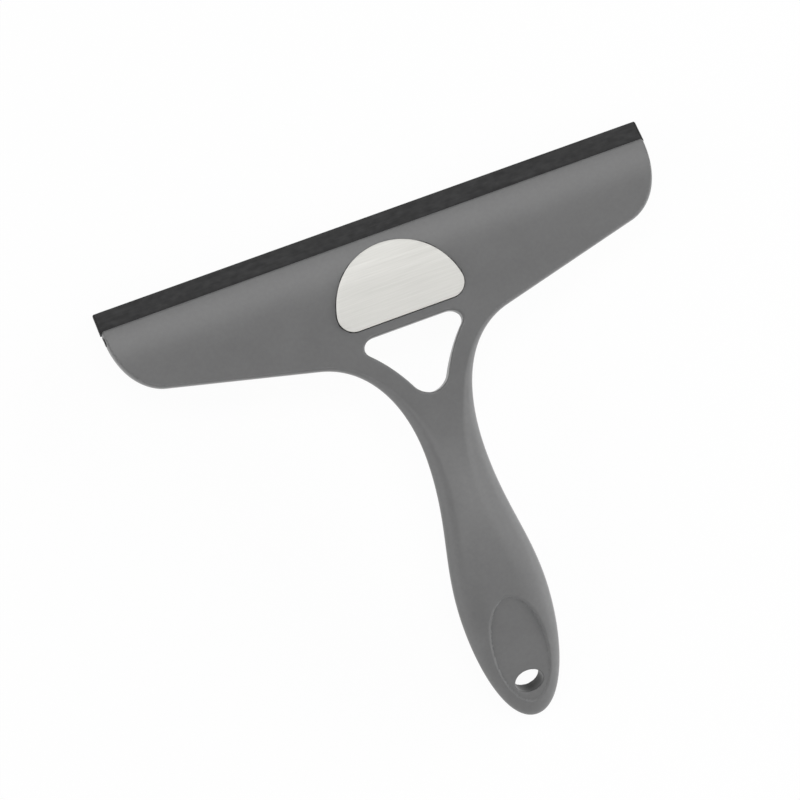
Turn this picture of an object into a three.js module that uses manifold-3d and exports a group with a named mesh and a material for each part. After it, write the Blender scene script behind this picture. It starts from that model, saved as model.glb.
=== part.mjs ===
// A window squeegee: a moulded body, a rubber blade whose root slides into a channel along the head,
// and a brushed metal plate bonded into a recess of the head. It lies on its back on a table.
// Millimetres. +X runs along the blade, +Y from the grip to the blade, +Z up.
//
// Every piece is drawn flat and then bent. In the flat drawing x runs across, s runs along the body's
// middle surface from the wiping edge to the tail, and h stands off that surface towards the front.

import * as THREE from "three";
import { mergeVertices } from "three/addons/utils/BufferGeometryUtils.js";
import Module from "manifold-3d";

// Side profile of the middle surface, from the wiping edge to the tail: how steeply the straight lip
// rises, and how far each later stretch runs and turns. Angles are in degrees.
const bodyLength = 224.7;
const bladeAngle = 28.23;
const shoulderRun = 25.3;
const shoulderAngle = 17.3;
const headRun = 26;
const neckRun = 40;
const neckAngle = 12.9;
const gripRun = 60;
const gripAngle = 6.6;
const tailAngle = 8;

// Rubber blade. Its lip tapers to the wiping edge, and its bead is held behind the channel's throat.
// The lip reaches past the body at both ends, and the root behind it ends short of the lip.
const bladeLength = 240;
const lipOverhang = 0.4;
const rootInset = 1.5;
const lipReach = 9.8;
const lipTipThickness = 1;
const lipThickness = 2;
const throatDepth = 1.8;
const beadDiameter = 3.4;
const slideClearance = 0.2;

// Outline of the body. A pull is how far a curve keeps to its tangent at that end.
const wingCornerInset = 17.2;
const wingCornerS = 39.8;
const wingSidePull = 23;
const wingCornerPull = 4;
const neckTopWidth = 82.6;
const neckTopS = 54.9;
const neckTopPull = 18.4;
const waistWidth = 24.4;
const waistS = 105.1;
const waistPull = 27.3;
const gripWidth = 39.2;
const gripWidestToTail = 53.3;
const gripPull = 24.4;
const tailPull = 12.7;

// Thickness of the body, and how far in from the outline its edges are rounded.
const channelThickness = 7.6;
const headThickness = 5.8;
const gripThickness = 14;
const tailThickness = 8.4;
const headEdgeRound = 1;
const gripEdgeRound = 13;
const tailEdgeRound = 9;
const mouthRound = 0.6;
const thickenStartS = 45;
const thickenEndS = 140;
const taperRun = 57.4;

// Metal plate, a circle cut by a straight side with rounded corners, and its adhesive pad. The plate
// rises a little above the face that it is let into.
const plateMargin = 4.4;
const plateRadius = 28;
const plateChordDrop = 2.7;
const plateCornerRadius = 6.8;
const plateThickness = 1;
const plateRise = 0.6;
const plateClearance = 0.12;
const padThickness = 0.2;
const padInset = 1.5;
const bondGap = 0.05;

// Triangular window in the neck. Its angles are those of its sides from the straight line to the tail.
const windowBridge = 4.2;
const windowLength = 29.1;
const windowTopWidth = 31.8;
const windowTopPull = 4.1;
const windowShoulderWidth = 40.2;
const windowShoulderDrop = 7.05;
const windowShoulderAngle = 45.4;
const windowShoulderPull = 4.5;
const windowSidePull = 7.2;
const windowFootWidth = 14.9;
const windowFootRise = 4.5;
const windowFootAngle = 27.3;
const windowFootPull = 2.3;
const windowEndPull = 3.4;
const windowRimRound = 0.9;

// Oval recess with a flat floor, and the hang hole through it. Both lean from the middle surface.
const ovalLength = 48.4;
const ovalWidth = 22.6;
const ovalToTail = 32.7;
const ovalDepth = 1.4;
const ovalDraft = 0.8;
const ovalAngle = 3.2;
const hangHoleWidth = 12.3;
const hangHoleLength = 9.6;
const hangHoleToTail = 17.5;
const hangHoleAngle = 2.2;
const hangRimRound = 0.6;

// How finely curves are divided, how far a cutter runs past the faces it cuts, and the least share of
// the body's half width that its rounded edge leaves flat.
const curveSteps = 14;
const edgeSteps = 5;
const flatSteps = 4;
const rimSteps = 3;
const plateSteps = 20;
const circleSteps = 16;
const overshoot = 5;
const leastFlatShare = 0.3;

// Places along the middle surface that follow from the sizes above.
const tailRun = bodyLength - lipReach - shoulderRun - headRun - neckRun - gripRun;
const shoulderEndS = lipReach + shoulderRun;
const plateCentreS = lipReach + plateMargin + plateRadius;
const plateChordS = plateCentreS + plateChordDrop;
const gripWidestS = bodyLength - gripWidestToTail;
const ovalCentreS = bodyLength - ovalToTail;
const hangHoleS = bodyLength - hangHoleToTail;
const taperStartS = bodyLength - taperRun;

const { degToRad, smoothstep, lerp } = THREE.MathUtils;
const wasm = await Module();
wasm.setup();

// The point a distance along a stretch of the side profile, which is an arc or, unturned, a line.
function along(stretch, distance) {
  const slope = stretch.slope - stretch.bend * distance;
  const half = (stretch.bend * distance) / 2;
  const chord = half === 0 ? distance : (distance * Math.sin(half)) / half;
  return {
    s: stretch.s + distance,
    y: stretch.y - chord * Math.cos(slope + half),
    z: stretch.z + chord * Math.sin(slope + half),
    slope,
  };
}

const stretches = [];
let stretchStart = { s: 0, y: 0, z: 0, slope: degToRad(bladeAngle) };
for (const [run, turn] of [
  [lipReach, 0],
  [shoulderRun, shoulderAngle],
  [headRun, 0],
  [neckRun, neckAngle],
  [gripRun, gripAngle],
  [tailRun, tailAngle],
]) {
  const stretch = { ...stretchStart, bend: degToRad(turn) / run };
  stretches.push(stretch);
  stretchStart = along(stretch, run);
}

function profileAt(s) {
  const stretch = stretches.findLast((item) => item.s <= s) ?? stretches[0];
  return along(stretch, s - stretch.s);
}

// Bends a point of the flat drawing onto the side profile.
function bend(x, s, h) {
  const { y, z, slope } = profileAt(s);
  return new THREE.Vector3(x, y + h * Math.sin(slope), z + h * Math.cos(slope));
}

// Half of the body's thickness at s, clear of its rounded edges.
function halfThickness(s) {
  const head = lerp(channelThickness, headThickness, smoothstep(s, lipReach, shoulderEndS));
  const grip = lerp(head, gripThickness, smoothstep(s, thickenStartS, thickenEndS));
  return lerp(grip, tailThickness, smoothstep(s, taperStartS, bodyLength)) / 2;
}

function edgeRound(s) {
  const grip = lerp(headEdgeRound, gripEdgeRound, smoothstep(s, thickenStartS, thickenEndS));
  return lerp(grip, tailEdgeRound, smoothstep(s, taperStartS, bodyLength));
}

// Height of the body's faces off the middle surface, some way in from the outline.
function faceHeight(s, inset) {
  const edge = 1 - Math.min(inset / edgeRound(s), 1);
  const mouth = 1 - Math.min((s - lipReach) / mouthRound, 1);
  const mouthDrop = mouthRound * (1 - Math.sqrt(1 - mouth ** 2));
  return (halfThickness(s) - mouthDrop) * Math.sqrt(1 - edge ** 2);
}

// A geometry from points and faces of four point numbers, less the triangles that close to a line.
function geometryOf(points, faces) {
  const geometry = new THREE.BufferGeometry().setFromPoints(points);
  geometry.setIndex(faces.flatMap(([a, b, c, d]) => [a, b, c, a, c, d]));
  const merged = mergeVertices(geometry);
  const index = merged.index.array;
  const kept = [];
  for (let i = 0; i < index.length; i += 3) {
    const [a, b, c] = index.subarray(i, i + 3);
    if (a !== b && b !== c && c !== a) kept.push(a, b, c);
  }
  return merged.setIndex(kept);
}

function solidOf(geometry) {
  const bare = geometry.clone();
  bare.deleteAttribute("normal");
  bare.deleteAttribute("uv");
  const merged = mergeVertices(bare);
  const vertProperties = new Float32Array(merged.attributes.position.array);
  const triVerts = new Uint32Array(merged.index.array);
  return new wasm.Manifold(new wasm.Mesh({ numProp: 3, vertProperties, triVerts }));
}

function geometryFrom(solid) {
  const { vertProperties, triVerts } = solid.getMesh();
  const geometry = new THREE.BufferGeometry();
  geometry.setAttribute("position", new THREE.BufferAttribute(vertProperties, 3));
  return geometry.setIndex(new THREE.BufferAttribute(triVerts, 1));
}

// The outward direction of a right half outline at one of its points, which run from blade to tail.
function outwardAt(half, i) {
  const before = half[Math.max(i - 1, 0)];
  const after = half[Math.min(i + 1, half.length - 1)];
  return new THREE.Vector2(after.y - before.y, before.x - after.x).normalize();
}

// The body's right half outline, from the mouth of the channel to the tail.
function bodyHalf() {
  const end = bladeLength / 2 - lipOverhang;
  const mouthEndS = lipReach + mouthRound;
  const corner = new THREE.Vector2(bladeLength / 2 - wingCornerInset, wingCornerS);
  const neckTop = new THREE.Vector2(neckTopWidth / 2, neckTopS);
  const wing = neckTop.clone().sub(corner).normalize();
  const cornerPull = corner.clone().addScaledVector(wing, -wingCornerPull);
  const neckPull = neckTop.clone().addScaledVector(wing, neckTopPull);
  const waist = waistWidth / 2;
  const grip = gripWidth / 2;
  const path = new THREE.Path();
  path.moveTo(end, lipReach);
  path.lineTo(end, lipReach + mouthRound / 3);
  path.lineTo(end, mouthEndS);
  path.bezierCurveTo(end, mouthEndS + wingSidePull, cornerPull.x, cornerPull.y, corner.x, corner.y);
  path.lineTo(neckTop.x, neckTop.y);
  path.bezierCurveTo(neckPull.x, neckPull.y, waist, waistS - waistPull, waist, waistS);
  path.bezierCurveTo(waist, waistS + waistPull, grip, gripWidestS - gripPull, grip, gripWidestS);
  path.bezierCurveTo(grip, gripWidestS + gripPull, tailPull, bodyLength, 0, bodyLength);
  return path.getPoints(curveSteps);
}

// How far a point of the flat drawing lies inside a half outline.
function insetFrom(half, x, s) {
  const point = new THREE.Vector3(x, s, 0);
  const nearest = new THREE.Vector3();
  const line = new THREE.Line3();
  let least = Infinity;
  for (let i = 0; i + 1 < half.length; i += 1) {
    line.start.set(half[i].x, half[i].y, 0);
    line.end.set(half[i + 1].x, half[i + 1].y, 0);
    line.closestPointToPoint(point, true, nearest);
    least = Math.min(least, nearest.distanceTo(point));
  }
  return least;
}

// The body before it is cut: one cross-section at each outline point, and a closing point at the tail.
function bodyBlank() {
  const half = bodyHalf();
  const columns = 2 * (edgeSteps + flatSteps);
  const points = [];
  half.slice(0, -1).forEach((point, i) => {
    const reach = Math.min(edgeRound(point.y) / outwardAt(half, i).x, point.x * (1 - leastFlatShare));
    const xs = [];
    for (let step = 0; step < edgeSteps; step += 1) {
      xs.push(point.x - reach * (1 - Math.cos((step / edgeSteps) * (Math.PI / 2))));
    }
    for (let step = 0; step <= flatSteps; step += 1) {
      xs.push((point.x - reach) * (1 - step / flatSteps));
    }
    const front = [...xs, ...xs.slice(0, -1).reverse().map((x) => -x)];
    const heights = front.map((x) => faceHeight(point.y, insetFrom(half, Math.abs(x), point.y)));
    heights[0] = 0;
    heights[columns] = 0;
    front.forEach((x, k) => points.push(bend(x, point.y, heights[k])));
    front.forEach((x, k) => points.push(bend(x, point.y, -heights[k])));
  });
  points.push(bend(0, bodyLength, 0));
  const row = 2 * (columns + 1);
  const tip = points.length - 1;
  const faces = [];
  for (let k = 0; k < columns; k += 1) {
    const back = columns + 1 + k;
    faces.push([back, back + 1, k + 1, k]);
    for (let a = 0; a + row < tip; a += row) {
      faces.push([a + k + 1, a + row + k + 1, a + row + k, a + k]);
      faces.push([a + back, a + row + back, a + row + back + 1, a + back + 1]);
    }
    const last = tip - row;
    faces.push([last + k + 1, tip, tip, last + k], [last + back, tip, tip, last + back + 1]);
  }
  return geometryOf(points, faces);
}

// A slab with mirror-image sides. Each of its rings, from back to front, is the right half outline
// with its mirror image, grown outwards and lifted to a height.
function slab(half, rings, place) {
  const count = half.length;
  const points = [];
  for (const { grow, height } of rings) {
    for (const side of [1, -1]) {
      half.forEach((point, i) => {
        const out = outwardAt(half, i);
        const onAxis = point.x < 1e-6;
        const x = onAxis ? 0 : point.x + grow * out.x;
        const s = point.y + grow * (onAxis ? Math.sign(out.y) : out.y);
        points.push(place(side * x, s, height(s)));
      });
    }
  }
  const front = (rings.length - 1) * 2 * count;
  const faces = [];
  for (let i = 0; i + 1 < count; i += 1) {
    faces.push([i + 1, i + count + 1, i + count, i]);
    faces.push([front + i + count, front + i + count + 1, front + i + 1, front + i]);
  }
  for (let low = 0; low < front; low += 2 * count) {
    const high = low + 2 * count;
    for (let i = 0; i + 1 < count; i += 1) {
      faces.push([high + i, high + i + 1, low + i + 1, low + i]);
      faces.push([low + count + i, low + count + i + 1, high + count + i + 1, high + count + i]);
    }
    faces.push([high + count, high, low, low + count]);
    faces.push([high + count - 1, high + 2 * count - 1, low + 2 * count - 1, low + count - 1]);
  }
  return geometryOf(points, faces);
}

// Rings of a through cutter that flares at both faces, so that it leaves rounded rims.
function throughRings(rimRound, backHeight, frontHeight) {
  const rings = [{ grow: rimRound, height: (s) => backHeight(s) - overshoot }];
  for (let i = 0; i <= rimSteps; i += 1) {
    const angle = (i / rimSteps) * (Math.PI / 2);
    const grow = rimRound * (1 - Math.sin(angle));
    const depth = rimRound * (1 - Math.cos(angle));
    rings.push({ grow, height: (s) => backHeight(s) + depth });
  }
  for (let i = rimSteps; i >= 0; i -= 1) {
    const angle = (i / rimSteps) * (Math.PI / 2);
    const grow = rimRound * (1 - Math.sin(angle));
    const depth = rimRound * (1 - Math.cos(angle));
    rings.push({ grow, height: (s) => frontHeight(s) - depth });
  }
  rings.push({ grow: rimRound, height: (s) => frontHeight(s) + overshoot });
  return rings;
}

// The plate's right half outline, from the top of its circle to the end of its straight side.
function plateHalf() {
  const cornerS = plateChordS - plateCornerRadius;
  const cornerReach = plateRadius - plateCornerRadius;
  const cornerX = Math.sqrt(cornerReach ** 2 - (cornerS - plateCentreS) ** 2);
  const cornerAngle = Math.atan2(cornerS - plateCentreS, cornerX);
  const arc = new THREE.Path().absarc(0, plateCentreS, plateRadius, -Math.PI / 2, cornerAngle);
  const corner = new THREE.Path().absarc(cornerX, cornerS, plateCornerRadius, cornerAngle, Math.PI / 2);
  return [...arc.getPoints(plateSteps), ...corner.getPoints(rimSteps).slice(1)];
}

// The window's right half outline, from its straight top to its rounded foot.
function windowHalf() {
  const topS = plateChordS + windowBridge;
  const endS = topS + windowLength;
  const shoulder = new THREE.Vector2(windowShoulderWidth / 2, topS + windowShoulderDrop);
  const foot = new THREE.Vector2(windowFootWidth / 2, endS - windowFootRise);
  const direction = (lean) => new THREE.Vector2(-Math.sin(degToRad(lean)), Math.cos(degToRad(lean)));
  const shoulderWay = direction(windowShoulderAngle);
  const footWay = direction(windowFootAngle);
  const points = [
    shoulder.clone().addScaledVector(shoulderWay, -windowShoulderPull),
    shoulder.clone().addScaledVector(shoulderWay, windowSidePull),
    foot.clone().addScaledVector(footWay, -windowSidePull),
    foot.clone().addScaledVector(footWay, windowFootPull),
  ];
  const path = new THREE.Path();
  path.moveTo(windowTopWidth / 2, topS);
  path.bezierCurveTo(windowTopWidth / 2 + windowTopPull, topS, ...points[0], ...shoulder);
  path.bezierCurveTo(...points[1], ...points[2], ...foot);
  path.bezierCurveTo(...points[3], windowEndPull, endS, 0, endS);
  return path.getPoints(curveSteps / 2);
}

// The right half of an ellipse, from its blade end to its tail end.
function ellipseHalf(centreS, width, length) {
  const curve = new THREE.EllipseCurve(0, centreS, width / 2, length / 2, -Math.PI / 2, Math.PI / 2);
  return curve.getPoints(circleSteps);
}

// The blade's cross-section, grown by a clearance, from a place on its lip to the end of its bead.
function rootSection(startHalf, startS, grow) {
  const beadRadius = beadDiameter / 2;
  const throatS = lipReach + mouthRound;
  const beadS = lipReach + throatDepth + beadRadius;
  const radius = beadRadius + grow;
  const throat = lipThickness / 2 + grow;
  const angle = Math.acos(throat / radius);
  const shape = new THREE.Shape();
  shape.moveTo(-startHalf, startS);
  shape.lineTo(startHalf, startS);
  shape.lineTo(throat, throatS);
  shape.absarc(0, beadS, radius, -angle, Math.PI + angle);
  shape.lineTo(-throat, throatS);
  return shape;
}

// A prism along the blade, between two places across, from a cross-section whose axes are h and s.
function bladePrism(section, startX, endX) {
  const options = { depth: endX - startX, bevelEnabled: false, curveSegments: circleSteps / 2 };
  const geometry = new THREE.ExtrudeGeometry(section, options);
  const position = geometry.attributes.position;
  for (let i = 0; i < position.count; i += 1) {
    const x = startX + position.getZ(i);
    position.setXYZ(i, ...bend(x, position.getY(i), position.getX(i)));
  }
  return geometry;
}

// A flat plane that leans from the middle surface at s: it places points, and measures heights off it.
function planeAt(centreS, height, lean) {
  const slope = profileAt(centreS).slope - degToRad(lean);
  const centre = bend(0, centreS, height);
  const tailward = new THREE.Vector3(0, -Math.cos(slope), Math.sin(slope));
  const normal = new THREE.Vector3(0, Math.sin(slope), Math.cos(slope));
  const place = (x, s, h) => {
    const point = centre.clone().addScaledVector(tailward, s - centreS);
    return point.addScaledVector(normal, h).setX(x);
  };
  const heightOf = (point) => point.clone().sub(centre).dot(normal);
  return { place, heightOf };
}

// A height that keeps a fixed distance to the body's front face.
function onFront(distance) {
  return (s) => halfThickness(s) + distance;
}

function bodyGeometry() {
  const recessDepth = plateThickness - plateRise + padThickness + 2 * bondGap;
  const mouthHalf = lipThickness / 2 + slideClearance;
  const channel = rootSection(mouthHalf, lipReach - overshoot, slideClearance);
  const ovalFloor = planeAt(ovalCentreS, halfThickness(ovalCentreS) - ovalDepth, ovalAngle);
  const hangHole = planeAt(hangHoleS, 0, hangHoleAngle);
  const cutters = [
    bladePrism(channel, -bladeLength / 2 - overshoot, bladeLength / 2 + overshoot),
    slab(
      plateHalf(),
      [
        { grow: plateClearance, height: onFront(-recessDepth) },
        { grow: plateClearance, height: onFront(overshoot) },
      ],
      bend,
    ),
    slab(windowHalf(), throughRings(windowRimRound, (s) => -halfThickness(s), halfThickness), bend),
    slab(
      ellipseHalf(ovalCentreS, ovalWidth, ovalLength),
      [
        { grow: 0, height: () => 0 },
        { grow: ovalDraft * overshoot, height: () => overshoot },
      ],
      ovalFloor.place,
    ),
    slab(
      ellipseHalf(hangHoleS, hangHoleWidth, hangHoleLength),
      throughRings(
        hangRimRound,
        (s) => hangHole.heightOf(bend(0, s, -halfThickness(s))),
        (s) => hangHole.heightOf(ovalFloor.place(0, s, 0)),
      ),
      hangHole.place,
    ),
  ];
  const blank = solidOf(bodyBlank());
  return geometryFrom(cutters.reduce((solid, cutter) => solid.subtract(solidOf(cutter)), blank));
}

// The blade: one section along its whole length, less the root at both ends of the lip.
function bladeGeometry() {
  const lipEnd = bladeLength / 2;
  const rootEnd = lipEnd - rootInset;
  const cutStartS = lipReach - slideClearance;
  const cutEndS = lipReach + throatDepth + beadDiameter + overshoot;
  const rootCut = new THREE.Shape();
  rootCut.moveTo(-overshoot, cutStartS);
  rootCut.lineTo(overshoot, cutStartS);
  rootCut.lineTo(overshoot, cutEndS);
  rootCut.lineTo(-overshoot, cutEndS);
  let solid = solidOf(bladePrism(rootSection(lipTipThickness / 2, 0, 0), -lipEnd, lipEnd));
  for (const [startX, endX] of [[-lipEnd - overshoot, -rootEnd], [rootEnd, lipEnd + overshoot]]) {
    solid = solid.subtract(solidOf(bladePrism(rootCut, startX, endX)));
  }
  return geometryFrom(solid);
}

function plateGeometry() {
  return slab(
    plateHalf(),
    [
      { grow: 0, height: onFront(plateRise - plateThickness) },
      { grow: 0, height: onFront(plateRise) },
    ],
    bend,
  );
}

function padGeometry() {
  const frontDepth = plateThickness - plateRise + bondGap;
  return slab(
    plateHalf(),
    [
      { grow: -padInset, height: onFront(-frontDepth - padThickness) },
      { grow: -padInset, height: onFront(-frontDepth) },
    ],
    bend,
  );
}

function piece(name, geometry, look) {
  const mesh = new THREE.Mesh(geometry, new THREE.MeshStandardMaterial(look));
  mesh.name = name;
  return mesh;
}

const squeegee = new THREE.Group();
squeegee.add(
  piece("handle_body", bodyGeometry(), { color: 0x6f7072, roughness: 0.55, metalness: 0 }),
  piece("rubber_blade", bladeGeometry(), { color: 0x2e2e30, roughness: 0.8, metalness: 0 }),
  piece("badge_plate", plateGeometry(), { color: 0xd2cfca, roughness: 0.35, metalness: 1 }),
  piece("badge_adhesive", padGeometry(), { color: 0xd8d4c4, roughness: 0.9, metalness: 0 }),
);

// The origin is the middle of the footprint, on the table.
const box = new THREE.Box3().setFromObject(squeegee);
const middle = box.getCenter(new THREE.Vector3());
squeegee.position.set(-middle.x, -middle.y, -box.min.z);

export default squeegee;
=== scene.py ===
import math

import bpy
import numpy as np
from mathutils import Matrix, Vector


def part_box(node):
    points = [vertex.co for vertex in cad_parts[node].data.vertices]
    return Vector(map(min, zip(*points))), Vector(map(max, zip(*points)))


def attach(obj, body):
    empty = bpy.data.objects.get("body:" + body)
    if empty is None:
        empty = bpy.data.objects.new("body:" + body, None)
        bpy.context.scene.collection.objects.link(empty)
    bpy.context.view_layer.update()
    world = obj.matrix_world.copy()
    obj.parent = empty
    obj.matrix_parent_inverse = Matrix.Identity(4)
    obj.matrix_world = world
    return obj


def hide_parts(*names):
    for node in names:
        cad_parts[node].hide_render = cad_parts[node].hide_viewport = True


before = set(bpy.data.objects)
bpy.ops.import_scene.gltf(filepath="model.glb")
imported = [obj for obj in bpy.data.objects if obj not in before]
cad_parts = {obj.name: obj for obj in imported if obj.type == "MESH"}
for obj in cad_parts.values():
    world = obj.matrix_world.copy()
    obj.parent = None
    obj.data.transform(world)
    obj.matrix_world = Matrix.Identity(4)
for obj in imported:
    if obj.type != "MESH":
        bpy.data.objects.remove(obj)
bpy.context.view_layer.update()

# Sizes in millimetres, as in the part's source. In the flat drawing x runs across, s runs along the
# body's middle surface from the wiping edge to the tail, and h stands off that surface to the front.
# The length and the tail are a little under the source's, to keep the smooth surface in the solids' box.
METRES = 0.001
BODY_LENGTH = 224.6
BLADE_ANGLE = 28.23
STRETCHES = ((9.8, 0.0), (25.3, 17.3), (26.0, 0.0), (40.0, 12.9), (60.0, 6.6), (63.6, 8.0))

BLADE_LENGTH = 240.0
LIP_OVERHANG = 0.4
ROOT_HALF = 119.4
LIP_REACH = 9.8
LIP_CORNER_ROUND = 0.8
LIP_EDGE_ROUND = 0.12
LIP_TIP_THICKNESS = 1.0
LIP_THICKNESS = 2.0
THROAT_DEPTH = 1.8
BEAD_RADIUS = 1.7
SLIDE_CLEARANCE = 0.2
CHANNEL_EDGE_ROUND = 0.2
BEAD_S = LIP_REACH + THROAT_DEPTH + BEAD_RADIUS

WING_CORNER = (102.8, 39.8)
WING_SIDE_PULL = 23.0
WING_CORNER_PULL = 4.0
NECK_TOP = (41.3, 54.9)
NECK_TOP_PULL = 18.4
WAIST = (12.2, 105.1)
WAIST_PULL = 27.3
GRIP = (19.6, 171.4)
GRIP_PULL = 24.4
TAIL_PULL = 12.7

CHANNEL_THICKNESS = 7.6
HEAD_THICKNESS = 5.8
GRIP_THICKNESS = 14.0
TAIL_THICKNESS = 8.25
HEAD_EDGE_ROUND = 1.0
GRIP_EDGE_ROUND = 13.0
TAIL_EDGE_ROUND = 9.0
MOUTH_ROUND = 0.6
SHOULDER_END = 35.1
THICKEN_START = 45.0
THICKEN_END = 140.0
TAPER_START = 167.3

PLATE_CENTRE = 42.2
PLATE_RADIUS = 28.0
PLATE_CHORD = 44.9
PLATE_CORNER_RADIUS = 6.8
PLATE_THICKNESS = 1.0
PLATE_RISE = 0.6
PLATE_EDGE_ROUND = 0.15
PLATE_MIDDLE = 31.0
RECESS_GAP = 0.03
RECESS_DEPTH = 0.7
RECESS_RIM_ROUND = 0.05

WINDOW_TOP = 49.1
WINDOW_END = 78.2
WINDOW_TOP_HALF = 15.9
WINDOW_TOP_PULL = 4.1
WINDOW_SHOULDER = (20.1, 56.15)
WINDOW_SHOULDER_ANGLE = 45.4
WINDOW_SHOULDER_PULL = 4.5
WINDOW_SIDE_PULL = 7.2
WINDOW_FOOT = (7.45, 73.7)
WINDOW_FOOT_ANGLE = 27.3
WINDOW_FOOT_PULL = 2.3
WINDOW_END_PULL = 3.4
WINDOW_RIM_ROUND = 0.9

OVAL_S = 192.0
OVAL_HALVES = (11.3, 24.2)
OVAL_DEPTH = 1.4
OVAL_DRAFT = 0.8
OVAL_ANGLE = 3.2
OVAL_ROUND = 0.8
HANG_HOLE_S = 207.2
HANG_HOLE_HALVES = (6.15, 4.8)
HANG_HOLE_ANGLE = 2.2
HANG_RIM_ROUND = 0.6

# The grid that the body's surface is found on: its spacings, and where each of them ends.
GRID_FINE = 0.55
GRID_RIM = 0.6
GRID_COARSE = 1.0
GRID_DEEP = 0.5
GRID_MARGIN = 1
GRID_BADGE_HALF = 31.0
GRID_HALF = 121.5
GRID_BADGE_END = 50.0
GRID_WINDOW_END = 80.0
GRID_NECK_END = 164.0
GRID_HALF_DEPTH = 7.6


# The side profile: arcs and lines that each start where the one before ends.
def profile_stretches():
    s, y, z, slope = 0.0, 0.0, 0.0, math.radians(BLADE_ANGLE)
    rows = []
    for run, turn in STRETCHES:
        bend = math.radians(turn) / run
        rows.append((s, y, z, slope, bend))
        half = bend * run / 2
        chord = run if half == 0 else run * math.sin(half) / half
        y -= chord * math.cos(slope - half)
        z += chord * math.sin(slope - half)
        s, slope = s + run, slope - bend * run
    return np.array(rows)


PROFILE = profile_stretches()


def profile(s):
    """y, z, slope and bend of the middle surface at s."""
    row = np.clip(np.searchsorted(PROFILE[:, 0], s, side="right") - 1, 0, len(PROFILE) - 1)
    start, y, z, slope, bend = np.moveaxis(PROFILE[row], -1, 0)
    half = bend * (s - start) / 2
    chord = (s - start) * np.sinc(half / math.pi)
    return y - chord * np.cos(slope - half), z + chord * np.sin(slope - half), slope - 2 * half, bend


blade_low, blade_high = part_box("rubber_blade")
TIP_HALF = LIP_TIP_THICKNESS / 2
EDGE_Y = blade_high.y / METRES - TIP_HALF * math.sin(math.radians(BLADE_ANGLE))
EDGE_Z = blade_low.z / METRES + TIP_HALF * math.cos(math.radians(BLADE_ANGLE))


def bend(x, s, h):
    """Points of the flat drawing bent onto the side profile, in millimetres in the shared frame."""
    y, z, slope, _ = profile(s)
    return np.stack([x + 0 * y, EDGE_Y + y + h * np.sin(slope), EDGE_Z + z + h * np.cos(slope)], -1)


def smooth(s, start, end):
    t = np.clip((s - start) / (end - start), 0, 1)
    return t * t * (3 - 2 * t)


def mix(a, b, t):
    return a + (b - a) * t


def half_thickness(s):
    head = mix(CHANNEL_THICKNESS, HEAD_THICKNESS, smooth(s, LIP_REACH, SHOULDER_END))
    grip = mix(head, GRIP_THICKNESS, smooth(s, THICKEN_START, THICKEN_END))
    return mix(grip, TAIL_THICKNESS, smooth(s, TAPER_START, BODY_LENGTH)) / 2


def edge_round(s):
    grip = mix(HEAD_EDGE_ROUND, GRIP_EDGE_ROUND, smooth(s, THICKEN_START, THICKEN_END))
    return mix(grip, TAIL_EDGE_ROUND, smooth(s, TAPER_START, BODY_LENGTH))


def bezier(a, b, c, d, steps):
    """Points of a cubic curve after its first one."""
    t = np.linspace(0, 1, steps + 1)[1:, None]
    a, b, c, d = map(np.array, (a, b, c, d))
    return a * (1 - t) ** 3 + 3 * b * t * (1 - t) ** 2 + 3 * c * t**2 * (1 - t) + d * t**3


def arc(centre, radius, start, end, steps):
    angle = np.linspace(start, end, steps + 1)
    return np.stack([centre[0] + radius * np.cos(angle), centre[1] + radius * np.sin(angle)], 1)


# Right half outlines in the flat drawing, from the blade side to the tail side.
def body_half():
    start = -20.0
    end = BLADE_LENGTH / 2 - LIP_OVERHANG
    mouth = LIP_REACH + MOUTH_ROUND
    side_pull = (end, mouth + WING_SIDE_PULL)
    tail_pull = (TAIL_PULL, BODY_LENGTH)
    corner, neck = np.array(WING_CORNER), np.array(NECK_TOP)
    wing = (neck - corner) / np.linalg.norm(neck - corner)
    return np.concatenate(
        [
            [[end, start], [end, mouth]],
            bezier((end, mouth), side_pull, corner - WING_CORNER_PULL * wing, corner, 60),
            [mix(corner, neck, t) for t in (0.25, 0.5, 0.75, 1.0)],
            bezier(neck, neck + NECK_TOP_PULL * wing, (WAIST[0], WAIST[1] - WAIST_PULL), WAIST, 60),
            bezier(WAIST, (WAIST[0], WAIST[1] + WAIST_PULL), (GRIP[0], GRIP[1] - GRIP_PULL), GRIP, 40),
            bezier(GRIP, (GRIP[0], GRIP[1] + GRIP_PULL), tail_pull, (0, BODY_LENGTH), 60),
        ]
    )


def plate_half():
    corner_s = PLATE_CHORD - PLATE_CORNER_RADIUS
    corner_x = math.sqrt((PLATE_RADIUS - PLATE_CORNER_RADIUS) ** 2 - (corner_s - PLATE_CENTRE) ** 2)
    angle = math.atan2(corner_s - PLATE_CENTRE, corner_x)
    round_side = arc((0, PLATE_CENTRE), PLATE_RADIUS, -math.pi / 2, angle, 80)
    corner = arc((corner_x, corner_s), PLATE_CORNER_RADIUS, angle, math.pi / 2, 16)
    chord = [[corner_x * t, PLATE_CHORD] for t in (0.75, 0.5, 0.25, 0.0)]
    return np.concatenate([round_side, corner[1:], chord])


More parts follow.
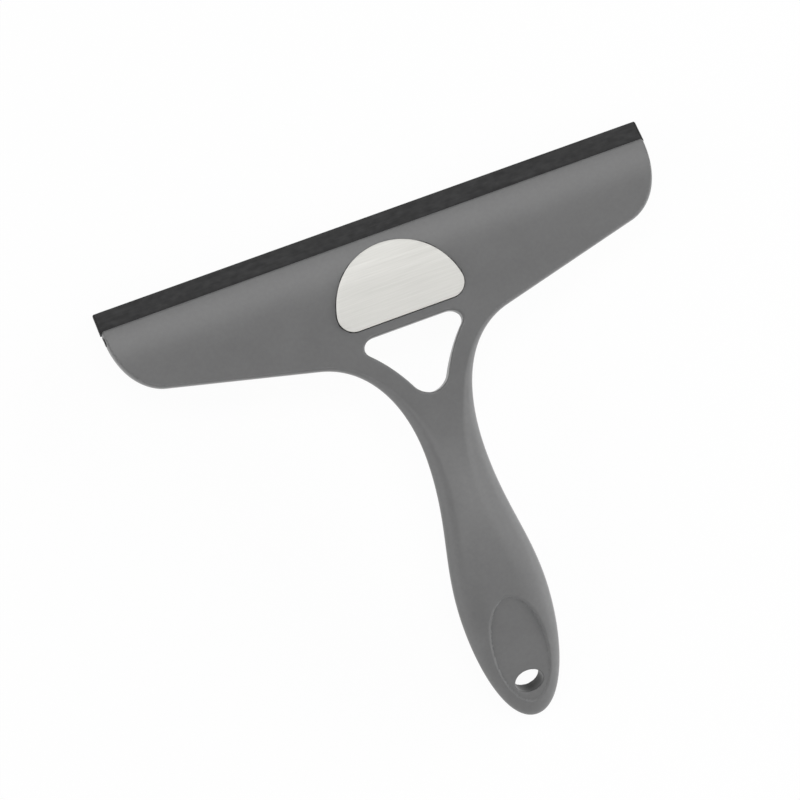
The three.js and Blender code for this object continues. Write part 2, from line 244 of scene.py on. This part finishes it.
def window_half():
    def way(degrees):
        return np.array([-math.sin(math.radians(degrees)), math.cos(math.radians(degrees))])

    shoulder, foot = np.array(WINDOW_SHOULDER), np.array(WINDOW_FOOT)
    down, out = way(WINDOW_SHOULDER_ANGLE), way(WINDOW_FOOT_ANGLE)
    top = (WINDOW_TOP_HALF, WINDOW_TOP)
    top_pull = (WINDOW_TOP_HALF + WINDOW_TOP_PULL, WINDOW_TOP)
    end_pull = (WINDOW_END_PULL, WINDOW_END)
    side_start, side_end = shoulder + WINDOW_SIDE_PULL * down, foot - WINDOW_SIDE_PULL * out
    return np.concatenate(
        [
            [[WINDOW_TOP_HALF * t, WINDOW_TOP] for t in (0.0, 0.25, 0.5, 0.75, 1.0)],
            bezier(top, top_pull, shoulder - WINDOW_SHOULDER_PULL * down, shoulder, 24),
            bezier(shoulder, side_start, side_end, foot, 24),
            bezier(foot, foot + WINDOW_FOOT_PULL * out, end_pull, (0, WINDOW_END), 20),
        ]
    )


def outward_normals(half):
    """Outward unit normals at the points of a half outline that meets the axis at right angles."""
    step = np.diff(half, axis=0)
    along = np.stack([step[:, 1], -step[:, 0]], 1) / np.linalg.norm(step, axis=1)[:, None]
    normals = np.concatenate([along[:1], along[:-1] + along[1:], along[-1:]])
    normals[:, 0] = np.where(half[:, 0] < 1e-9, 0, normals[:, 0])
    return normals / np.linalg.norm(normals, axis=1)[:, None]


def outline_distance(half, x, s):
    """Signed distance to a mirrored half outline, negative inside, and its gradient in x and s."""
    normals = outward_normals(half)
    side = np.abs(x)
    least = np.full(side.shape, np.inf)
    inside = np.zeros(side.shape, bool)
    gradient = np.zeros(side.shape + (2,))
    for a, b, na, nb in zip(half[:-1], half[1:], normals[:-1], normals[1:]):
        way = b - a
        t = np.clip(((side - a[0]) * way[0] + (s - a[1]) * way[1]) / (way @ way), 0, 1)
        squared = (side - a[0] - t * way[0]) ** 2 + (s - a[1] - t * way[1]) ** 2
        nearer = squared < least
        least[nearer] = squared[nearer]
        gradient[nearer] = na + (nb - na) * t[nearer][:, None]
        if way[1] != 0:
            crossed = (a[1] > s) != (b[1] > s)
            inside ^= crossed & (side < a[0] + (s - a[1]) * way[0] / way[1])
    gradient[..., 0] *= np.where(x < 0, -1, 1)
    return np.where(inside, -1, 1) * np.sqrt(least), gradient


OUTLINES = (body_half(), window_half(), plate_half())


def planar(x, s):
    """Signed distances to the three outlines, stacked, and their gradients."""
    found = [outline_distance(half, x, s) for half in OUTLINES]
    return np.stack([d for d, _ in found]), np.stack([g for _, g in found])


def round_max(a, b, radius):
    """The larger of two fields, with the edge where they meet rounded."""
    both = np.hypot(np.maximum(a + radius, 0), np.maximum(b + radius, 0))
    return np.minimum(np.maximum(a, b), -radius) + both


def ellipse(x, along, halves):
    """About the distance to an ellipse, negative inside."""
    share = np.hypot(x / halves[0], along / halves[1])
    steep = np.hypot(x / halves[0] ** 2, along / halves[1] ** 2) + 1e-9
    return share * (share - 1) / steep


class LeaningPlane:
    """A plane that leans from the middle surface at s."""

    def __init__(self, s, height, lean):
        slope = profile(np.array(s))[2] - math.radians(lean)
        self.centre = bend(np.array(0.0), np.array(s), height)
        self.tailward = np.array([0, -math.cos(slope), math.sin(slope)])
        self.normal = np.array([0, math.sin(slope), math.cos(slope)])

    def coordinates(self, s, h):
        """How far a point of the flat drawing lies along the plane and above it."""
        offset = bend(0 * s * h, s + 0 * h, h + 0 * s) - self.centre
        return offset @ self.tailward, offset @ self.normal


OVAL_PLANE = LeaningPlane(OVAL_S, half_thickness(np.array(OVAL_S)) - OVAL_DEPTH, OVAL_ANGLE)
HOLE_PLANE = LeaningPlane(HANG_HOLE_S, 0.0, HANG_HOLE_ANGLE)


def body_field(distances, x, s, h):
    """Negative inside the body. The distances are those of planar() at x and s."""
    outline, window, plate = distances
    thickness = half_thickness(s)
    edge = np.maximum(1 + outline / edge_round(s), 0)
    field = (np.hypot(edge, h / thickness) - 1) * thickness
    field = round_max(field, LIP_REACH - s + 0 * h, MOUTH_ROUND)
    throat = np.maximum(np.abs(h) - LIP_THICKNESS / 2 - SLIDE_CLEARANCE, s - BEAD_S)
    bead = np.hypot(s - BEAD_S, h) - BEAD_RADIUS - SLIDE_CLEARANCE
    field = round_max(field, -np.minimum(throat, bead) + 0 * x, CHANNEL_EDGE_ROUND)
    field = round_max(field, -window + 0 * h, WINDOW_RIM_ROUND)
    recess = np.maximum(plate - RECESS_GAP, thickness - RECESS_DEPTH - h)
    field = round_max(field, -recess, RECESS_RIM_ROUND)
    along, above = OVAL_PLANE.coordinates(s, h)
    oval = np.maximum(ellipse(x, along, OVAL_HALVES) - OVAL_DRAFT * above, -above)
    field = round_max(field, -oval, OVAL_ROUND)
    along, _ = HOLE_PLANE.coordinates(s, h)
    return round_max(field, -ellipse(x, along, HANG_HOLE_HALVES), HANG_RIM_ROUND)


def spread(*stretches):
    """Grid lines from the first place on, each stretch given by its end and its spacing."""
    lines = [stretches[0]]
    for end, spacing in stretches[1:]:
        count = max(1, round((end - lines[-1]) / spacing))
        lines.extend(np.linspace(lines[-1], end, count + 1)[1:])
    return np.array(lines)


def grid_axes():
    right = spread(GRID_FINE / 2, (GRID_BADGE_HALF, GRID_FINE), (GRID_HALF, GRID_COARSE))
    along = spread(
        LIP_REACH - GRID_MARGIN,
        (GRID_BADGE_END, GRID_FINE),
        (GRID_WINDOW_END, GRID_RIM),
        (GRID_NECK_END, GRID_COARSE),
        (BODY_LENGTH + GRID_MARGIN, GRID_RIM),
    )
    deep = spread(-GRID_HALF_DEPTH, (GRID_HALF_DEPTH, GRID_DEEP))
    return np.concatenate([-right[::-1], right]), along, deep


def surface_net(values, axes):
    """Points and quads of the surface where a grid of values crosses zero, one point to a cell."""
    inside = values < 0
    shape = np.array(values.shape)
    cells = tuple(shape - 1)
    corners = [(i, j, k) for i in (0, 1) for j in (0, 1) for k in (0, 1)]
    count = np.zeros(cells, np.uint8)
    for i, j, k in corners:
        count += inside[i : i + cells[0], j : j + cells[1], k : k + cells[2]]
    active = np.argwhere((count > 0) & (count < 8))
    number = np.full(cells, -1, np.int64)
    number[tuple(active.T)] = np.arange(len(active))
    total = np.zeros((len(active), 3))
    hits = np.zeros(len(active))
    for corner in corners:
        for axis in range(3):
            if corner[axis]:
                continue
            low = active + corner
            high = low.copy()
            high[:, axis] += 1
            a, b = values[tuple(low.T)], values[tuple(high.T)]
            crossed = (a < 0) != (b < 0)
            t = np.where(crossed, a / np.where(crossed, a - b, 1), 0)
            start = np.stack([axes[n][low[:, n]] for n in range(3)], 1)
            end = np.stack([axes[n][high[:, n]] for n in range(3)], 1)
            total += (start + (end - start) * t[:, None]) * crossed[:, None]
            hits += crossed
    quads = []
    for axis in range(3):
        b, c = (axis + 1) % 3, (axis + 2) % 3
        low = np.moveaxis(inside, axis, 0)[:-1]
        high = np.moveaxis(inside, axis, 0)[1:]
        edges = np.argwhere(low != high)
        place = np.zeros((len(edges), 3), np.int64)
        for n, source in enumerate([axis] + [m for m in range(3) if m != axis]):
            place[:, source] = edges[:, n]
        outward = inside[tuple(place.T)]
        ring = []
        for db, dc in ((-1, -1), (0, -1), (0, 0), (-1, 0)):
            cell = place.copy()
            cell[:, b] += db
            cell[:, c] += dc
            ring.append(number[tuple(cell.T)])
        ring = np.stack(ring, 1)
        quads.append(np.where(outward[:, None], ring[:, ::-1], ring))
    return total / hits[:, None], np.concatenate(quads)


def flat_gradient(points):
    """The body's field at points of the flat drawing, and its gradient."""
    small = 0.01
    x, s, h = points.T
    distances, slopes = planar(x, s)
    gradient = np.zeros_like(points)
    for axis in range(3):
        step = np.zeros(3)
        step[axis] = small
        change = slopes[..., axis] * small if axis < 2 else 0 * distances
        up = body_field(distances + change, x + step[0], s + step[1], h + step[2])
        down = body_field(distances - change, x - step[0], s - step[1], h - step[2])
        gradient[:, axis] = (up - down) / (2 * small)
    return body_field(distances, x, s, h), gradient


def body_mesh():
    """Points, quads and normals of the body, with the points drawn onto the surface in two steps."""
    least_steep, longest_step = 0.05, 0.4
    axes = grid_axes()
    x, s, h = np.meshgrid(*axes, indexing="ij", sparse=True)
    distances, _ = planar(x[..., 0] + 0 * s[..., 0], s[..., 0] + 0 * x[..., 0])
    points, quads = surface_net(body_field(distances[..., None], x, s, h), axes)
    for _ in range(2):
        value, gradient = flat_gradient(points)
        steep = np.maximum((gradient**2).sum(1), least_steep)
        points -= np.clip(value / steep, -longest_step, longest_step)[:, None] * gradient
    _, gradient = flat_gradient(points)
    _, _, slope, bent = profile(points[:, 1])
    along = gradient[:, 1] / (1 + points[:, 2] * bent)
    normals = np.stack(
        [
            gradient[:, 0],
            gradient[:, 2] * np.sin(slope) - along * np.cos(slope),
            gradient[:, 2] * np.cos(slope) + along * np.sin(slope),
        ],
        1,
    )
    return bend(*points.T), quads, normals / np.linalg.norm(normals, axis=1)[:, None]


def add_mesh(name, points, faces, material):
    mesh = bpy.data.meshes.new(name)
    mesh.from_pydata((points * METRES).tolist(), [], [list(map(int, face)) for face in faces])
    mesh.shade_smooth()
    mesh.materials.append(material)
    piece = bpy.data.objects.new(name, mesh)
    bpy.context.scene.collection.objects.link(piece)
    return piece


def rings_mesh(rings, caps=()):
    """Points and quads of closed rings of as many points each, and the faces that close them."""
    size = len(rings[0])
    faces = []
    for row in range(len(rings) - 1):
        for i in range(size):
            j = (i + 1) % size
            low, high = row * size, (row + 1) * size
            faces.append((low + i, low + j, high + j, high + i))
    for row, turned in caps:
        face = [row * size + i for i in range(size)]
        faces.append(face[::-1] if turned else face)
    return np.concatenate(rings), faces


def plate_mesh():
    """The plate as rings: its back, its rounded edge, and its front drawn in towards its middle."""
    half = plate_half()
    normals = outward_normals(half)
    outline = np.concatenate([half, half[-2:0:-1] * [-1, 1]])
    outward = np.concatenate([normals, normals[-2:0:-1] * [-1, 1]])
    middle = np.array([0.0, PLATE_MIDDLE])
    edge = PLATE_EDGE_ROUND
    innermost = 0.08
    rings = []

    def ring(flat, depth):
        rings.append(bend(flat[:, 0], flat[:, 1], half_thickness(flat[:, 1]) + PLATE_RISE - depth))

    for share in np.linspace(innermost, 1, 8):
        ring(middle + (outline - middle) * share, PLATE_THICKNESS)
    for angle in np.linspace(0, math.pi / 2, 4):
        ring(outline - outward * edge * (1 - math.cos(angle)), edge * (1 - math.sin(angle)))
    inner = outline - outward * edge
    for share in np.linspace(1, innermost, 12)[1:]:
        ring(middle + (inner - middle) * share, 0)
    return rings_mesh(rings, ((0, True), (len(rings) - 1, False)))


def blade_section(tip, rooted):
    """The strip's cross-section in h and s, from a tip at s, with its root or with only its lip."""
    ease = LIP_EDGE_ROUND
    middle_ease = 0.3 * ease
    throat = LIP_THICKNESS / 2
    tip_half = mix(TIP_HALF, throat, tip / LIP_REACH)
    angle = math.acos(throat / BEAD_RADIUS)
    lip = [
        [tip_half - ease, tip],
        [tip_half - middle_ease, tip + middle_ease],
        [tip_half, tip + ease],
        [throat, LIP_REACH],
    ]
    bead = arc((0, BEAD_S), BEAD_RADIUS, -angle, math.pi / 2, 14)
    if not rooted:
        closing = np.linspace(throat, 0, len(bead) + 1)[1:]
        bead = np.stack([closing, np.full(len(bead), LIP_REACH)], 1)
    half = np.concatenate([lip, bead])
    return np.concatenate([half, half[-2::-1] * [-1, 1]])


def blade_mesh():
    """The strip as rings along its length. Its lip has rounded corners, and its root ends short of them."""
    end = BLADE_LENGTH / 2
    root_step = 0.02
    corner = [LIP_CORNER_ROUND * (1 - math.cos(a)) for a in np.linspace(0, math.pi / 2, 7)]
    left = [-end + d for d in corner]
    right = [end - d for d in corner[::-1]]
    places = [(x, False) for x in left] + [(-ROOT_HALF - root_step, False)]
    places += [(x, True) for x in np.linspace(-ROOT_HALF, ROOT_HALF, 80)]
    places += [(ROOT_HALF + root_step, False)] + [(x, False) for x in right]
    rings = []
    for x, rooted in places:
        short = max(0.0, LIP_CORNER_ROUND - (end - abs(x)))
        tip = LIP_CORNER_ROUND - math.sqrt(LIP_CORNER_ROUND**2 - short**2)
        flat = blade_section(tip, rooted)
        rings.append(bend(np.full(len(flat), x), flat[:, 1], flat[:, 0]))
    return rings_mesh(rings, ((0, True), (len(rings) - 1, False)))


def nodes_of(material):
    material.use_nodes = True
    tree = material.node_tree
    return tree, tree.nodes["Principled BSDF"]


def link(tree, source, target):
    tree.links.new(source, target)


def add_node(tree, kind, **values):
    node = tree.nodes.new(kind)
    for name, value in values.items():
        if name in node.inputs:
            node.inputs[name].default_value = value
        else:
            setattr(node, name, value)
    return node


def noise(tree, scale, stretch=(1, 1, 1), detail=3.0):
    """Noise in object coordinates, with its size set in cells to the metre."""
    place = add_node(tree, "ShaderNodeTexCoord")
    sized = add_node(tree, "ShaderNodeMapping", vector_type="POINT")
    sized.inputs["Scale"].default_value = stretch
    made = add_node(tree, "ShaderNodeTexNoise")
    made.inputs["Scale"].default_value = scale
    made.inputs["Detail"].default_value = detail
    link(tree, place.outputs["Object"], sized.inputs["Vector"])
    link(tree, sized.outputs["Vector"], made.inputs["Vector"])
    return made.outputs["Fac"]


def ranged(tree, source, low, high, start=0.3, end=0.7):
    made = add_node(tree, "ShaderNodeMapRange")
    made.inputs["From Min"].default_value = start
    made.inputs["From Max"].default_value = end
    made.inputs["To Min"].default_value = low
    made.inputs["To Max"].default_value = high
    link(tree, source, made.inputs["Value"])
    return made.outputs["Result"]


def ramp(tree, source, low, high, start=0.3, end=0.7):
    made = add_node(tree, "ShaderNodeValToRGB")
    made.color_ramp.elements[0].position = start
    made.color_ramp.elements[0].color = (*low, 1)
    made.color_ramp.elements[1].position = end
    made.color_ramp.elements[1].color = (*high, 1)
    link(tree, source, made.inputs["Fac"])
    return made.outputs["Color"]


def bump(tree, heights):
    """Bump from several height sources, each with its depth in metres."""
    normal = None
    for source, depth in heights:
        made = add_node(tree, "ShaderNodeBump")
        made.inputs["Strength"].default_value = 1.0
        made.inputs["Distance"].default_value = depth
        link(tree, source, made.inputs["Height"])
        if normal:
            link(tree, normal, made.inputs["Normal"])
        normal = made.outputs["Normal"]
    return normal


def plastic_material():
    material = bpy.data.materials.new("body_plastic")
    tree, shader = nodes_of(material)
    full_gloss, shaded_gloss = 0.5, 0.1
    painted_shade_colour = (0.02, 0.02, 0.02, 1)
    grain = noise(tree, 2600, detail=2.0)
    cloud = noise(tree, 60, detail=6.0)
    speckle = noise(tree, 650, detail=3.0)
    clouded = ramp(tree, cloud, (0.118, 0.1185, 0.119), (0.130, 0.1305, 0.131))
    clean = add_node(tree, "ShaderNodeMix", data_type="RGBA", blend_type="MULTIPLY")
    clean.inputs["Factor"].default_value = 1.0
    link(tree, clouded, clean.inputs["A"])
    link(tree, ramp(tree, speckle, (0.96, 0.96, 0.96), (1.04, 1.04, 1.04)), clean.inputs["B"])
    # Painted shade: an occlusion mask darkens the hang hole and the corners and makes them less glossy,
    # standing in for the shade that falls there.
    openness = add_node(tree, "ShaderNodeAmbientOcclusion", samples=8, only_local=True)
    openness.inputs["Distance"].default_value = 0.01
    painted_shade = add_node(tree, "ShaderNodeMix", data_type="RGBA")
    painted_shade.inputs["A"].default_value = painted_shade_colour
    closed, open_air = 0.5, 0.95
    unshaded_share = ranged(tree, openness.outputs["AO"], 0.0, 1.0, closed, open_air)
    gloss = ranged(tree, openness.outputs["AO"], shaded_gloss, full_gloss, closed, open_air)
    link(tree, unshaded_share, painted_shade.inputs["Factor"])
    link(tree, clean.outputs["Result"], painted_shade.inputs["B"])
    link(tree, painted_shade.outputs["Result"], shader.inputs["Base Color"])
    shader.inputs["Specular IOR Level"].default_value = full_gloss
    link(tree, gloss, shader.inputs["Specular IOR Level"])
    link(tree, ranged(tree, cloud, 0.28, 0.31), shader.inputs["Roughness"])
    link(tree, bump(tree, ((grain, 0.000012),)), shader.inputs["Normal"])
    return material


def rubber_material():
    material = bpy.data.materials.new("blade_rubber")
    tree, shader = nodes_of(material)
    streak = noise(tree, 1500, (0.02, 1, 1), 2.0)
    speck = noise(tree, 4200, detail=1.0)
    mottle = noise(tree, 420, (0.6, 1, 1), 4.0)
    black = ramp(tree, mottle, (0.015, 0.015, 0.0153), (0.033, 0.033, 0.0335))
    link(tree, black, shader.inputs["Base Color"])
    shader.inputs["Specular IOR Level"].default_value = 0.3
    link(tree, ranged(tree, streak, 0.55, 0.72), shader.inputs["Roughness"])
    link(tree, bump(tree, ((streak, 0.00001), (speck, 0.000008))), shader.inputs["Normal"])
    return material


def metal_material():
    material = bpy.data.materials.new("badge_metal")
    tree, shader = nodes_of(material)
    shader.inputs["Metallic"].default_value = 1.0
    shader.inputs["Anisotropic"].default_value = 0.6
    across = add_node(tree, "ShaderNodeTangent", direction_type="UV_MAP", uv_map="brushing")
    link(tree, across.outputs["Tangent"], shader.inputs["Tangent"])
    streak = noise(tree, 3200, (0.02, 1, 1), 4.0)
    broad = noise(tree, 900, (0.03, 1, 1), 3.0)
    steel = ramp(tree, streak, (0.41, 0.406, 0.388), (0.455, 0.451, 0.432))
    link(tree, steel, shader.inputs["Base Color"])
    link(tree, ranged(tree, broad, 0.40, 0.50), shader.inputs["Roughness"])
    link(tree, bump(tree, ((streak, 0.000006),)), shader.inputs["Normal"])
    return material


def foam_material():
    material = bpy.data.materials.new("adhesive_foam")
    tree, shader = nodes_of(material)
    cells = noise(tree, 3000, detail=2.0)
    link(tree, ramp(tree, cells, (0.62, 0.60, 0.50), (0.74, 0.72, 0.62)), shader.inputs["Base Color"])
    shader.inputs["Roughness"].default_value = 0.9
    link(tree, bump(tree, ((cells, 0.00003),)), shader.inputs["Normal"])
    return material


PLASTIC = plastic_material()
RUBBER = rubber_material()
METAL = metal_material()
FOAM = foam_material()

body_points, body_quads, body_normals = body_mesh()
body = add_mesh("moulded_body", body_points, body_quads, PLASTIC)
body.data.normals_split_custom_set_from_vertices(body_normals.tolist())
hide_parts("handle_body")
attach(body, "handle")

badge = add_mesh("brushed_badge", *plate_mesh(), METAL)
# The map runs across the brushing, so that the metal spreads its gloss that way.
MAP_SCALE = 10
brushing = badge.data.uv_layers.new(name="brushing")
for loop in badge.data.loops:
    co = badge.data.vertices[loop.vertex_index].co
    brushing.data[loop.index].uv = (co.y * MAP_SCALE, co.x * MAP_SCALE)
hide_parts("badge_plate")
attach(badge, "handle")

SHARP_EDGE_ANGLE = 40
blade = add_mesh("wiping_strip", *blade_mesh(), RUBBER)
blade.data.set_sharp_from_angle(angle=math.radians(SHARP_EDGE_ANGLE))
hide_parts("rubber_blade")
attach(blade, "blade")

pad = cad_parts["badge_adhesive"]
pad.data.materials.clear()
pad.data.materials.append(FOAM)


def seen_directly(tree):
    """One for rays that show the white studio: from the camera, off a gloss or through glass."""
    paths = add_node(tree, "ShaderNodeLightPath")
    seen = paths.outputs["Is Camera Ray"]
    for kind in ("Is Glossy Ray", "Is Transmission Ray"):
        either = add_node(tree, "ShaderNodeMath", operation="MAXIMUM")
        link(tree, seen, either.inputs[0])
        link(tree, paths.outputs[kind], either.inputs[1])
        seen = either.outputs["Value"]
    return seen


def add_floor():
    """White paper: it shows as white, takes a faint shadow, and throws less light back than it shows."""
    half_size = 6.0
    white_share = 0.95
    lit, shown = (0.4, 0.4, 0.4), (0.9, 0.9, 0.9)
    signs = ((-1, -1), (1, -1), (1, 1), (-1, 1))
    mesh = bpy.data.meshes.new("floor")
    mesh.from_pydata([(half_size * x, half_size * y, 0) for x, y in signs], [], [(0, 1, 2, 3)])
    material = bpy.data.materials.new("floor_white")
    material.use_nodes = True
    tree = material.node_tree
    tree.nodes.clear()
    seen = seen_directly(tree)
    share = add_node(tree, "ShaderNodeMath", operation="MULTIPLY")
    link(tree, seen, share.inputs[0])
    share.inputs[1].default_value = white_share
    paper = add_node(tree, "ShaderNodeBsdfDiffuse")
    link(tree, ramp(tree, seen, lit, shown, 0.0, 1.0), paper.inputs["Color"])
    white = add_node(tree, "ShaderNodeEmission")
    white.inputs["Strength"].default_value = 1.0
    both = add_node(tree, "ShaderNodeMixShader")
    link(tree, share.outputs["Value"], both.inputs["Fac"])
    link(tree, paper.outputs["BSDF"], both.inputs[1])
    link(tree, white.outputs["Emission"], both.inputs[2])
    out = add_node(tree, "ShaderNodeOutputMaterial")
    link(tree, both.outputs["Shader"], out.inputs["Surface"])
    mesh.materials.append(material)
    floor = bpy.data.objects.new("floor", mesh)
    bpy.context.scene.collection.objects.link(floor)


add_floor()


def add_world(strength):
    """A studio that shows as white, and lights the object with only a faint fill."""
    world = bpy.data.worlds.new("studio")
    bpy.context.scene.world = world
    world.use_nodes = True
    tree = world.node_tree
    tree.nodes.clear()
    light = add_node(tree, "ShaderNodeBackground")
    light.inputs["Color"].default_value = (1, 1, 1, 1)
    light.inputs["Strength"].default_value = strength
    white = add_node(tree, "ShaderNodeBackground")
    white.inputs["Color"].default_value = (1, 1, 1, 1)
    both = add_node(tree, "ShaderNodeMixShader")
    link(tree, seen_directly(tree), both.inputs["Fac"])
    link(tree, light.outputs["Background"], both.inputs[1])
    link(tree, white.outputs["Background"], both.inputs[2])
    out = add_node(tree, "ShaderNodeOutputWorld")
    link(tree, both.outputs["Shader"], out.inputs["Surface"])


FILL = 0.02
add_world(FILL)

# Soft boxes: degrees from above and towards where, width and height in metres, power in watts, and
# whether it shows in a gloss. Those that don't only fill in the shade, and a gloss shows the white studio.
SOFT_BOXES = (
    ("blade_side", (40.0, 90.0), (1.6, 0.6), 7.3, True),
    ("overhead", (13.0, 270.0), (2.0, 0.3), 5.0, True),
    ("right_side", (40.0, 0.0), (1.4, 0.8), 2.6, True),
    ("right_wall", (80.0, 0.0), (2.4, 0.55), 50.0, False),
    ("left_wall", (75.0, 180.0), (2.4, 0.9), 25.0, False),
    ("tail_side", (70.0, 270.0), (2.4, 1.2), 13.0, False),
)
LAMP_TARGET = Vector((0.0, 0.03, 0.0))
LAMP_DISTANCE = 1.6


def add_softbox(name, direction, size, power, in_gloss):
    lean, turn = (math.radians(a) for a in direction)
    level = math.sin(lean)
    way = Vector((level * math.cos(turn), level * math.sin(turn), math.cos(lean)))
    lamp = bpy.data.lights.new(name, "AREA")
    lamp.shape = "RECTANGLE"
    lamp.size, lamp.size_y = size
    lamp.energy = power
    thing = bpy.data.objects.new(name, lamp)
    thing.location = LAMP_TARGET + way * LAMP_DISTANCE
    thing.rotation_euler = way.to_track_quat("Z", "Y").to_euler()
    thing.visible_glossy = in_gloss
    bpy.context.scene.collection.objects.link(thing)


for soft_box in SOFT_BOXES:
    add_softbox(*soft_box)

# The camera stands where the photograph was taken from.
CAMERA_WAY = Vector((-0.14944, 0.12045, 0.98141))
CAMERA_TARGET = Vector((-0.011979, 0.034137, 0.003863))
CAMERA_DISTANCE = 1.6
CAMERA_ROLL = 0.35075
CAMERA_LENS = 174.484
SENSOR_WIDTH = 36.0
CLIP_START = 0.05


def add_camera():
    back = CAMERA_WAY.normalized()
    across = Vector((1, 0, 0))
    across = (across - back * across.dot(back)).normalized()
    upward = back.cross(across)
    right = across * math.cos(CAMERA_ROLL) - upward * math.sin(CAMERA_ROLL)
    up = across * math.sin(CAMERA_ROLL) + upward * math.cos(CAMERA_ROLL)
    data = bpy.data.cameras.new("camera")
    data.lens = CAMERA_LENS
    data.sensor_width = SENSOR_WIDTH
    data.clip_start = CLIP_START
    camera = bpy.data.objects.new("camera", data)
    turn = Matrix((right, up, back)).transposed()
    camera.matrix_world = Matrix.Translation(CAMERA_TARGET + back * CAMERA_DISTANCE) @ turn.to_4x4()
    bpy.context.scene.collection.objects.link(camera)
    bpy.context.scene.camera = camera


add_camera()
bpy.context.scene.view_settings.view_transform = "Standard"
